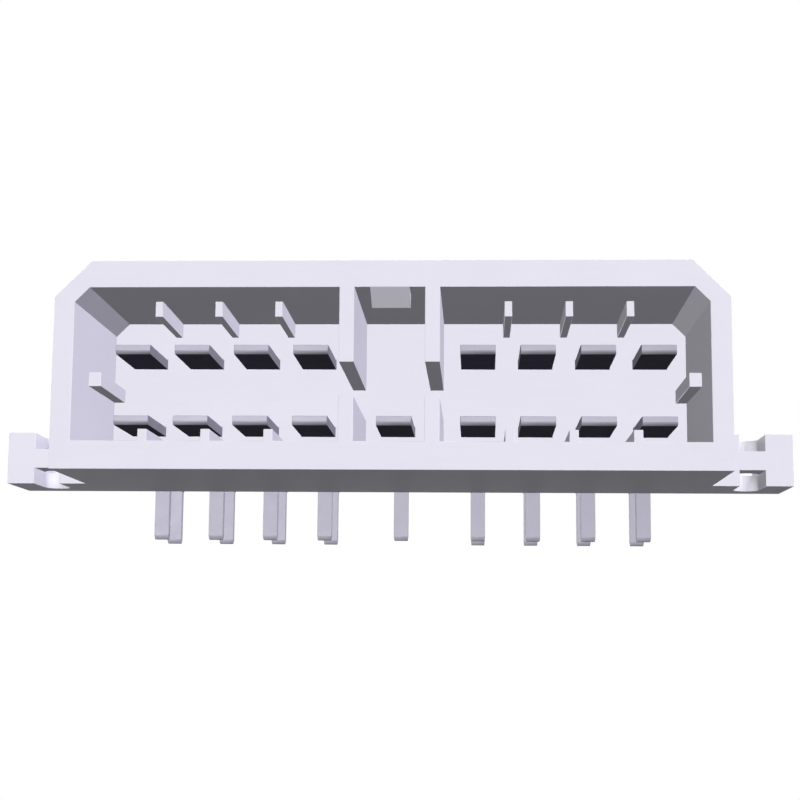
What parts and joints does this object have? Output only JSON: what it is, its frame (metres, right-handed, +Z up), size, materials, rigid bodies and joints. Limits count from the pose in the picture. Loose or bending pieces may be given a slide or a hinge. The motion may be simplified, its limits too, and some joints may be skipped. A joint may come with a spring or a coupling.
{
  "type": "circuit board socket",
  "caption": "Right-angle board connector: a moulded hood round two rows of male tabs for a cable plug, with bent solder tails behind it and a screw ear at each end.",
  "frame": {"origin": "on the circuit board's surface, midway between the two ear holes", "axes": "+X along the rows of tabs, +Y from the mating rim to the solder tails, +Z up from the board"},
  "size_m": [0.054, 0.0234, 0.0167],
  "materials": {
    "housing": "matte moulded polyester, lavender white",
    "terminals": "tin plated"
  },
  "bodies": {
    "root": {"housing": "housing", "upper_terminal_1": "terminals", "upper_terminal_2": "terminals", "upper_terminal_3": "terminals", "upper_terminal_4": "terminals", "upper_terminal_5": "terminals", "upper_terminal_6": "terminals", "upper_terminal_7": "terminals", "upper_terminal_8": "terminals", "lower_terminal_1": "terminals", "lower_terminal_2": "terminals", "lower_terminal_3": "terminals", "lower_terminal_4": "terminals", "lower_terminal_5": "terminals", "lower_terminal_6": "terminals", "lower_terminal_7": "terminals", "lower_terminal_8": "terminals", "lower_terminal_9": "terminals"}
  },
  "joints": []
}
